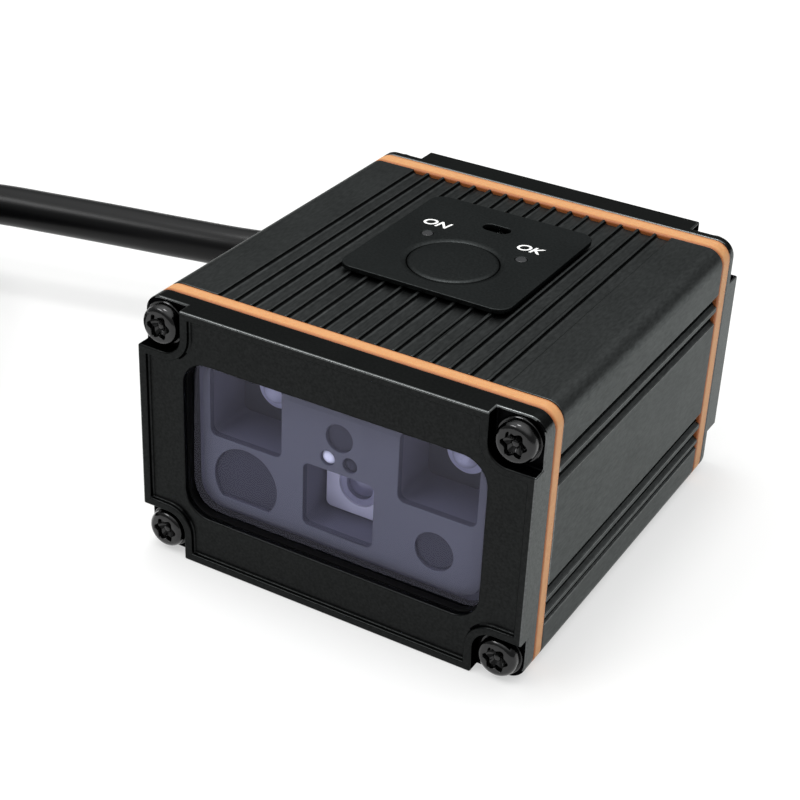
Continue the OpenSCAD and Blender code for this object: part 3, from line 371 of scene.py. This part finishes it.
def four_corners():
    """Tree that sets one piece at each corner of an upright rectangle, turned to face out of it."""
    tree = bpy.data.node_groups.new("four_corners", "GeometryNodeTree")
    tree.is_modifier = True
    for name, kind in (("Across", "Float"), ("Up", "Float"), ("Middle", "Vector"), ("Turn", "Vector"),
                       ("Piece", "Object"), ("Finish", "Material")):
        tree.interface.new_socket(name, in_out="INPUT", socket_type="NodeSocket" + kind)
    tree.interface.new_socket("Geometry", in_out="OUTPUT", socket_type="NodeSocketGeometry")
    given = add(tree, "NodeGroupInput").outputs
    corners = add(tree, "GeometryNodeMeshGrid", {"Size X": given["Across"], "Size Y": given["Up"],
                                                 "Vertices X": 2, "Vertices Y": 2})
    upright_corners = add(tree, "GeometryNodeTransform",
                          {"Geometry": corners.outputs["Mesh"], "Translation": given["Middle"],
                           "Rotation": (math.pi / 2, 0, 0)})
    one = add(tree, "GeometryNodeObjectInfo", {"Object": given["Piece"]})
    set_out = add(tree, "GeometryNodeInstanceOnPoints",
                  {"Points": upright_corners.outputs["Geometry"], "Instance": one.outputs["Geometry"],
                   "Rotation": given["Turn"]})
    real = add(tree, "GeometryNodeRealizeInstances", {"Geometry": set_out.outputs["Instances"]})
    painted = add(tree, "GeometryNodeSetMaterial",
                  {"Geometry": real.outputs["Geometry"], "Material": given["Finish"]})
    add(tree, "NodeGroupOutput", {"Geometry": painted.outputs["Geometry"]})
    return tree


def grown(name, tree, **values):
    """A piece made by a Geometry Nodes tree from values for its named inputs, as a plain mesh."""
    piece = bpy.data.objects.new(name, bpy.data.meshes.new(name))
    scene.collection.objects.link(piece)
    modifier = piece.modifiers.new(name, "NODES")
    modifier.node_group = tree
    for item in tree.interface.items_tree:
        if item.in_out == "INPUT" and item.name in values:
            modifier[item.identifier] = values[item.name]
    plain(piece)
    return piece


head_r, head_h, head_round, broken = 2.35, 1.3, 0.7, 0.06
shank_r, shank_l, tip_r, tip_l = 1.2, 12.0, 0.7, 0.5
recess_r, lobe_r, recess_z, pin_r, pin_z = 1.39, 0.19, 0.68, 0.4, 0.95
washer_r, washer_bore, washer_t = 2.6, 1.4, 0.4
head_arc = []
for degrees in range(0, 91, 15):
    swing = math.radians(degrees)
    head_arc.append((head_r - head_round * (1 - math.cos(swing)), 0,
                     head_h - head_round * (1 - math.sin(swing))))
screw_rings = [(tip_r, 0, -shank_l), (shank_r, 0, tip_l - shank_l), (shank_r, 0, 0),
               (head_r - broken, 0, 0), (head_r, 0, broken), *head_arc,
               (recess_r, lobe_r, head_h), (recess_r - 0.05, lobe_r, head_h - broken),
               (recess_r - 0.12, lobe_r, recess_z), (pin_r + 0.02, 0, 0.12), (pin_r, 0, pin_z - 0.09),
               (pin_r - 0.1, 0, pin_z - 0.01), (0.05, 0, pin_z)]
washer_rings = [(washer_bore, 0, -washer_t), (washer_r - broken, 0, -washer_t),
                (washer_r, 0, broken - washer_t), (washer_r, 0, -broken), (washer_r - broken, 0, 0),
                (washer_bore, 0, 0)]
corners_tree = four_corners()
one_screw = bpy.data.objects.new("one_screw", turned_mesh("one_screw", screw_rings, 72))
one_washer = bpy.data.objects.new("one_washer", turned_mesh("one_washer", washer_rings, 48))
for end, turn in (("front", 90), ("rear", -90)):
    low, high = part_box(end + "_washers")
    seat_y = low.y if end == "front" else high.y
    across, up = high.x - low.x - 2 * washer_r * MM, high.z - low.z - 2 * washer_r * MM
    for kind, one in (("screws", one_screw), ("washers", one_washer)):
        node = end + "_" + kind
        fixings = grown(node + "_set", corners_tree, Across=across, Up=up, Piece=one,
                        Middle=(0, seat_y, (low.z + high.z) / 2), Turn=(math.radians(turn), 0, 0),
                        Finish=screw_black)
        seat(fixings, screw_black, node)
bpy.data.objects.remove(one_screw)
bpy.data.objects.remove(one_washer)


# Window
# A pane of float glass is bonded behind the bezel's ledge by a black adhesive film, with a black foam
# seal behind it. Its coating gives the view through it and the faint reflection a violet cast.
coating_share = 0.45
glass, glass_tree, glass_shader = material_of("coated_float_glass", "#E4E2FA", 0.02, Metallic=1.0)
see_through = add(glass_tree, "ShaderNodeBsdfTransparent", {"Color": linear("#F5F5FD")})
inside = add(glass_tree, "ShaderNodeNewGeometry").outputs["Backfacing"]
facing_out = add(glass_tree, "ShaderNodeMath", {0: 1.0, 1: inside}, operation="SUBTRACT")
gleam = add(glass_tree, "ShaderNodeFresnel", {"IOR": 1.62}).outputs["Fac"]
mirror = add(glass_tree, "ShaderNodeMath", {0: gleam, 1: facing_out.outputs[0]}, operation="MULTIPLY")
faint = add(glass_tree, "ShaderNodeMath", {0: mirror.outputs[0], 1: coating_share},
            operation="MULTIPLY")
coated = add(glass_tree, "ShaderNodeMixShader", {0: faint.outputs[0], 1: see_through.outputs[0],
                                                 2: glass_shader.outputs[0]})
glass_tree.links.new(coated.outputs[0], glass_tree.nodes["Material Output"].inputs["Surface"])
pane_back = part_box("window_pane")[1].y
pane_sheet, seal_gap = 0.35 * MM, 0.02 * MM
pane_front = pane_back - pane_sheet
pane = dressed("window_pane", glass, 0.06, 1)
for point in pane.data.vertices:
    point.co.y = max(point.co.y, pane_front)


def finish_node(node, material):
    """Gives a CAD node that keeps its own shape a better material."""
    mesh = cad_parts[node].data
    mesh.materials.clear()
    mesh.materials.append(material)


def moulded(name, colour, roughness, grain=0.4, depth=0.03, shine=0.5):
    """Moulded plastic with the spark-eroded texture of its tool, its grain given in millimetres."""
    material, tree, shader = material_of(name, colour, roughness, Specular_IOR_Level=shine)
    place = add(tree, "ShaderNodeTexCoord").outputs["Object"]
    texture = add(tree, "ShaderNodeTexNoise", {"Vector": place, "Scale": 1 / (grain * MM),
                                               "Detail": 3.0}).outputs["Fac"]
    gloss = add(tree, "ShaderNodeMapRange", {"Value": texture, "From Min": 0.3, "From Max": 0.7,
                                             "To Min": roughness - 0.05, "To Max": roughness + 0.05})
    tree.links.new(gloss.outputs["Result"], shader.inputs["Roughness"])
    bump = add(tree, "ShaderNodeBump", {"Height": texture, "Strength": 0.25, "Distance": depth * MM})
    tree.links.new(bump.outputs["Normal"], shader.inputs["Normal"])
    return material


film_black = moulded("adhesive_film_black", "#0A0A0B", 0.7, shine=0.1)
bond = dressed("window_bond", film_black, 0.02, 1)
bond_middle = sum(end.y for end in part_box("window_bond")) / 2
seal_mesh = bond.data.copy()
seal_front, seal_back = pane_back + seal_gap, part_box("front_bezel")[1].y - seal_gap
for point in seal_mesh.vertices:
    point.co.y = seal_back if point.co.y > bond_middle else seal_front
for point in bond.data.vertices:
    point.co.y = pane_front if point.co.y > bond_middle else point.co.y
light_seal = bpy.data.objects.new("light_seal", seal_mesh)
scene.collection.objects.link(light_seal)
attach(light_seal, "reader")


# Imaging engine
# Behind the pane a grey moulded mask frames the lamp wells, the camera and the small round covers, with
# painted shade on the walls of its openings. It stands on a chassis that carries the lamp board, the
# lens block and the sensor board.
mask_grey = moulded("moulded_abs_mask_grey", "#606267", 0.65, 0.3, 0.01, 0.2)
mask = dressed("engine_mask", mask_grey, 0.08, 2)
# Painted shade: faces that do not face the front, the walls of the openings, get a darker grey
mask.data.materials.append(moulded("moulded_abs_mask_painted_wall_shade", "#4A4B55", 0.7, 0.3, 0.01, 0.1))
facing_front = -0.6
for face in mask.data.polygons:
    face.material_index = 0 if face.normal.y < facing_front else 1
chassis_grey = moulded("moulded_abs_chassis_dark", "#666772", 0.6, shine=0.1)
finish_node("engine_chassis", chassis_grey)
smoked = moulded("smoked_acrylic_cover", "#3A3B42", 0.4, 1.0, 0.005, 0.08)
dressed("cover_discs", smoked, 0.05, 2)
lens_pale = moulded("moulded_lens_block_pale", "#F0F0F8", 0.35, 0.3)
dressed("lens_mount", lens_pale, 0.12, 2)
barrel_grey = moulded("lens_barrel_grey", "#ABABBC", 0.3)
finish_node("lens_barrel", barrel_grey)
lens_coated = material_of("coated_lens_glass", "#7E7E90", 0.06, Coat_Weight=0.6)[0]
dressed("lens_glass", lens_coated, 0.03, 1)
frosted = moulded("moulded_acrylic_frosted", "#F4F7FC", 0.2, 0.3, 0.01)
lamp_clear = moulded("moulded_acrylic_lamp", "#DADCEC", 0.2, 0.3, 0.01)
dressed("light_lenses", lamp_clear, 0.05, 2)
aiming = dressed("aiming_lenses", frosted, 0.03, 1)
aiming.data.materials.append(smoked)
for face in aiming.data.polygons:
    face.material_index = 1 if face.center.x > 0 else 0
phosphor = moulded("white_lamp_phosphor", "#F1E6A6", 0.4)
finish_node("light_emitters", phosphor)
solder_mask = moulded("solder_mask_black", "#2E3036", 0.35, 0.6, 0.01)
for board in ("light_board", "sensor_board", "panel_board", "decoder_board"):
    finish_node(board, solder_mask)
chip_black = moulded("moulded_epoxy_chip", "#19191B", 0.5)
for part in ("image_sensor", "decoder_chips", "trigger_switch", "buzzer"):
    finish_node(part, chip_black)
brass = material_of("turned_brass", "#C9A655", 0.3, Metallic=1.0)[0]
finish_node("engine_spacers", brass)
zinc = material_of("zinc_plated_steel", "#B9BCC0", 0.35, Metallic=1.0)[0]
for fixing in ("chassis_screws", "engine_screws", "panel_screws"):
    finish_node(fixing, zinc)
film_amber = moulded("polyimide_film_amber", "#B9762C", 0.25, 1.0, 0.005)
for ribbon in ("engine_ribbon", "panel_ribbon"):
    finish_node(ribbon, film_amber)
ivory = moulded("moulded_nylon_ivory", "#E4DECB", 0.5)
for part in ("ribbon_sockets", "lead_header", "lead_crimp"):
    finish_node(part, ivory)


# Key panel
# A thin anodised plate is screwed to the sleeve's top from inside. A round key in a shallow moat
# presses a switch below it, two light pipes end flush beside it, and a slot lets the buzzer be heard.
panel_black = anodised("anodised_aluminium_plate", "#2F3131", 0.4, 1.0, "#BFC1C1")
dressed("key_panel", panel_black, 0.1, 2)
dressed("trigger_key", panel_black, 0.1, 2, body="key")
pipe_smoked = moulded("light_pipe_acrylic", "#222325", 0.3, 0.5, 0.005)
for pipe in ("power_light_pipe", "read_light_pipe"):
    dressed(pipe, pipe_smoked, 0.1, 2)
finish_node("switch_plunger", moulded("moulded_nylon_tan", "#C4AD76", 0.5))
finish_node("status_lamps", phosphor)
finish_node("buzzer_seal", moulded("closed_cell_foam", "#2B2B2D", 0.9, 0.3, 0.1))


# Marks beside the lamps
# Two short words are screen printed on the panel, one at each lamp. The white epoxy ink is a thin
# matte layer that stands just proud of the plate.
letter_size, letter_lean, letter_weight, ink_thick, above_lamp = 2.2, 0.2, 0.04, 0.01, 2.95
ink = moulded("screen_print_white", "#F4F4F2", 0.6, 0.2, 0.01)
panel_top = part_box("key_panel")[1].z
lamp_y = sum(end.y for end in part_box("power_light_pipe")) / 2
for word, x in (("ON", -6.8), ("OK", 5.8)):
    letters = bpy.data.curves.new("mark_" + word, "FONT")
    letters.body = word
    letters.size = letter_size * MM
    letters.align_x = "CENTER"
    letters.align_y = "CENTER"
    letters.shear = letter_lean
    letters.offset = letter_weight * MM
    letters.extrude = ink_thick * MM
    writing = bpy.data.objects.new("mark_" + word, letters)
    scene.collection.objects.link(writing)
    bpy.context.view_layer.update()
    solved = writing.evaluated_get(bpy.context.evaluated_depsgraph_get())
    printed = bpy.data.meshes.new_from_object(solved)
    bpy.data.objects.remove(writing)
    printed.transform(Matrix.Translation((x * MM, lamp_y + above_lamp * MM,
                                          panel_top + ink_thick / 2 * MM)))
    printed.materials.clear()
    printed.materials.append(ink)
    mark = bpy.data.objects.new("mark_" + word, printed)
    scene.collection.objects.link(mark)
    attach(mark, "reader")


# Cable
# A round lead in black soft PVC leaves the rear cover through a moulded boot, runs off to the left
# above the bench and comes down to a tied coil, with a plug on its far end.
pvc, pvc_tree, pvc_shader = material_of("soft_pvc_black", "#080809", 0.3, Specular_IOR_Level=0.2)
pvc_place = add(pvc_tree, "ShaderNodeTexCoord").outputs["Object"]
pvc_grain = add(pvc_tree, "ShaderNodeTexNoise",
                {"Vector": pvc_place, "Scale": 1 / (0.7 * MM), "Detail": 3.0})
pvc_bump = add(pvc_tree, "ShaderNodeBump",
               {"Height": pvc_grain.outputs["Fac"], "Strength": 0.2, "Distance": 0.03 * MM})
pvc_tree.links.new(pvc_bump.outputs["Normal"], pvc_shader.inputs["Normal"])
cable_d = 6.0
coil_x, coil_y, coil_mid_r = -104.0, -36.0, 33.0
out_r = coil_mid_r + cable_d
meet_r = out_r + cable_d
low_z = 0.5 + cable_d / 2
route = [(-19, 32.8, 12), (-24, 32.8, 12), (-31, 31.2, 12), (-38, 28.6, 12), (-46, 25.3, 12.2),
         (-56, 22.4, 12.5), (-66, 19.8, 12.8), (-76, 17.3, 13), (-86, 14.9, 13), (-96, 12.4, 12.2),
         (-105, 10, 10.4)]


def eased(value, start, end):
    """Zero before start, one after end, and a smooth step between."""
    t = min(max((value - start) / (end - start), 0.0), 1.0)
    return t * t * (3 - 2 * t)


def on_coil(angle, radius, height):
    """The point at an angle in degrees on a turn of the coil, in millimetres."""
    turned_to = math.radians(angle)
    return coil_x + radius * math.cos(turned_to), coil_y + radius * math.sin(turned_to), height


# Six turns: three inwards on the floor, a step up, and three outwards on top of them to a last climb
turns, steps, first = 6, 24, 104
for i in range(turns * steps):
    turn = i / steps
    inward = sum(eased(turn - k, 0.1, 0.47) for k in range(3))
    outward = sum(eased(turn - k, 0.6, 1.0) for k in (3, 4))
    climbs = eased(turn, 2.9, 3.25) + eased(turn, 5.75, 5.95)
    landing = 4.7 * max(0.0, 1 - turn / 0.125) ** 2
    route.append(on_coil(first + 360 * turn, meet_r + cable_d * (outward - inward),
                         low_z + cable_d * climbs + landing))

# The tail turns in over the coil to the plug, which lies on it
over_z, plug_z = low_z + 2 * cable_d, 0.5 + 2 * cable_d + 4
tail_r, tail_from = 26.0, 103.3
tail_x = coil_x + (out_r - tail_r) * math.cos(math.radians(tail_from))
tail_y = coil_y + (out_r - tail_r) * math.sin(math.radians(tail_from))
for angle in (tail_from, 116, 129, 142, 154.5, 167, 180):
    turned_to = math.radians(angle)
    route.append((tail_x + tail_r * math.cos(turned_to), tail_y + tail_r * math.sin(turned_to),
                  over_z + (plug_z - over_z) * eased(angle, tail_from, 180)))
route.append((tail_x - tail_r, coil_y + 6, plug_z))
path = bpy.data.curves.new("cable", "CURVE")
path.dimensions = "3D"
path.bevel_depth = cable_d / 2 * MM
path.bevel_resolution = 6
path.use_fill_caps = True
path.resolution_u = 6
line = path.splines.new("BEZIER")
line.bezier_points.add(len(route) - 1)
for knot, point in zip(line.bezier_points, route):
    knot.co = Vector(point) * MM
    knot.handle_left_type = knot.handle_right_type = "AUTO"
path.materials.append(pvc)
cable = bpy.data.objects.new("cable", path)
scene.collection.objects.link(cable)
seat(cable, pvc, "cable_lead", "cable_coil", "cable_tail")

boot_pvc = moulded("moulded_pvc_black", "#151516", 0.45, 0.5)
boot = dressed("cable_boot", boot_pvc, 0.25, 3)
grip = dressed("plug_body", boot_pvc, 0.6, 4)
strap, strap_tree, strap_shader = material_of("woven_nylon_strap", "#1B1B1C", 0.8)
strap_place = add(strap_tree, "ShaderNodeTexCoord").outputs["Object"]
weave = add(strap_tree, "ShaderNodeTexChecker", {"Vector": strap_place, "Scale": 1 / (1.2 * MM)})
weave_bump = add(strap_tree, "ShaderNodeBump",
                 {"Height": weave.outputs["Fac"], "Strength": 0.5, "Distance": 0.1 * MM})
strap_tree.links.new(weave_bump.outputs["Normal"], strap_shader.inputs["Normal"])
tie = dressed("coil_tie", strap, 0.15, 2)
nickel = material_of("nickel_plated_steel", "#C9CACB", 0.25, Metallic=1.0)[0]
shell = dressed("plug_shell", nickel, 0.08, 2)
insert = dressed("plug_insert", ivory, 0.1, 2)
